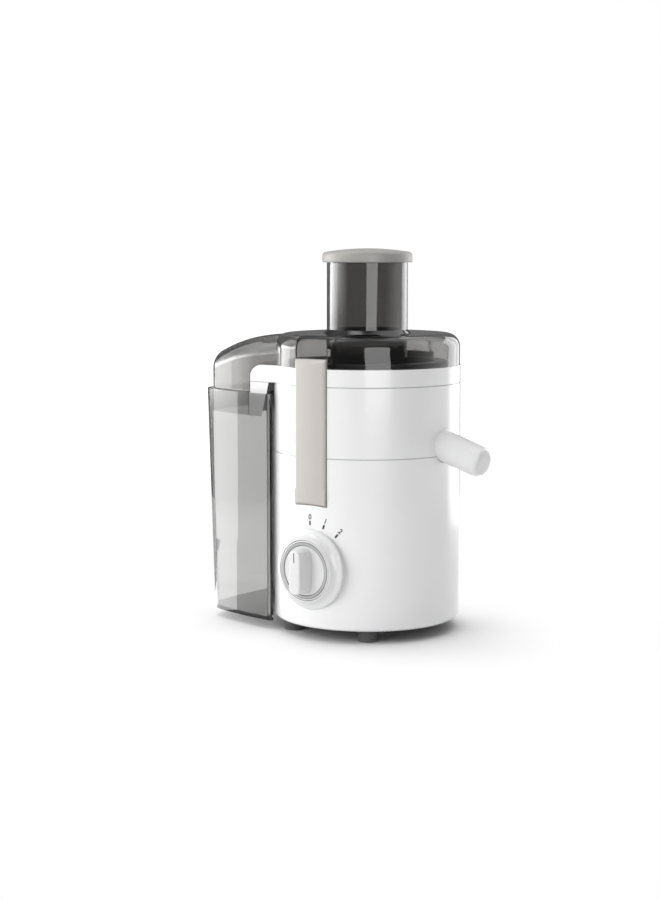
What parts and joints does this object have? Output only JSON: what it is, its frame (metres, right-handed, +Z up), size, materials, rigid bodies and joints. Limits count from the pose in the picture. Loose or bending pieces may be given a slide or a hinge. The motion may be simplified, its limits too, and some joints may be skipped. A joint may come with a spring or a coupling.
{
  "type": "centrifugal juicer",
  "caption": "Upright centrifugal juicer with a round motor base, side spout, clamped smoke lid with a feed chute and pusher, a rotary dial and a side pulp bin.",
  "frame": {"origin": "on the drive axis at table height", "axes": "+Z up, the dial and the front latch face -Y, the spout points along +X and the pulp bin hangs on the -X side"},
  "size_m": [0.3131, 0.2128, 0.377],
  "materials": {
    "white_plastic": "gloss",
    "grey_plastic": "satin",
    "smoke_clear": "clear gloss",
    "smoke_light": "clear gloss",
    "satin_ring": "satin",
    "dark_rubber": "matte",
    "inner_plastic": "matte",
    "steel": "brushed",
    "lamination": "matte",
    "copper": "enamelled",
    "alloy": "cast",
    "carbon": "matte"
  },
  "bodies": {
    "base": {"base_housing": "white_plastic", "bottom_cover": "inner_plastic", "rubber_feet": "dark_rubber", "cover_screws": "steel", "motor_dampers": "dark_rubber", "motor_screws": "steel", "upper_bracket": "alloy", "lower_bracket": "alloy", "upper_bearing": "steel", "lower_bearing": "steel", "motor_stator": "lamination", "field_coils": "copper", "brush_holders": "copper", "carbon_brushes": "carbon", "shaft_seal": "dark_rubber", "juice_collector": "white_plastic", "juice_spout": "white_plastic", "pulp_guide": "white_plastic", "lid": "smoke_clear", "dial_bezel": "white_plastic", "speed_switch": "inner_plastic", "safety_switch": "inner_plastic", "latch_pins": "steel", "cord_gland": "dark_rubber"},
    "rotor": {"motor_shaft": "steel", "armature_core": "lamination", "armature_winding": "copper", "commutator": "copper", "cooling_fan": "inner_plastic", "drive_coupling": "inner_plastic", "basket_hub": "inner_plastic", "grater_disc": "steel", "filter_mesh": "steel", "basket_rim": "inner_plastic"},
    "pusher": {"pusher_tube": "smoke_clear", "pusher_cap": "grey_plastic"},
    "knob": {"speed_knob": "white_plastic", "knob_ring": "satin_ring", "switch_spindle": "steel"},
    "front_latch_lever": {"front_latch": "grey_plastic"},
    "rear_latch_lever": {"rear_latch": "grey_plastic"},
    "bin": {"pulp_bin": "smoke_light"},
    "plunger": {"safety_plunger": "inner_plastic"}
  },
  "joints": [
    {"name": "rotor_spin", "type": "hinge", "parent": "base", "child": "rotor", "pos_m": [0, 0, 0.1], "axis": [0, 0, 1], "continuous": true},
    {"name": "pusher_lift", "type": "slide", "parent": "base", "child": "pusher", "axis": [0, 0, 1], "range_m": [0, 0.15]},
    {"name": "knob_turn", "type": "hinge", "parent": "base", "child": "knob", "pos_m": [0, -0.1, 0.07], "axis": [0, 1, 0], "range_deg": [-20, 40]},
    {"name": "front_latch_swing", "type": "hinge", "parent": "base", "child": "front_latch_lever", "pos_m": [0, -0.0865, 0.1402], "axis": [1, 0, 0], "range_deg": [0, 60]},
    {"name": "rear_latch_swing", "type": "hinge", "parent": "base", "child": "rear_latch_lever", "pos_m": [0, 0.0865, 0.1402], "axis": [-1, 0, 0], "range_deg": [0, 60]},
    {"name": "bin_tilt", "type": "hinge", "parent": "base", "child": "bin", "pos_m": [-0.0932, 0, 0.2312], "axis": [0, 1, 0], "range_deg": [0, 10]},
    {"name": "plunger_slide", "type": "slide", "parent": "base", "child": "plunger", "axis": [0, -1, 0], "range_m": [0, 0.002]}
  ],
  "couplings": [
    {"joint": "plunger_slide", "follows": "front_latch_swing", "m_per_rad": 0.0019}
  ]
}
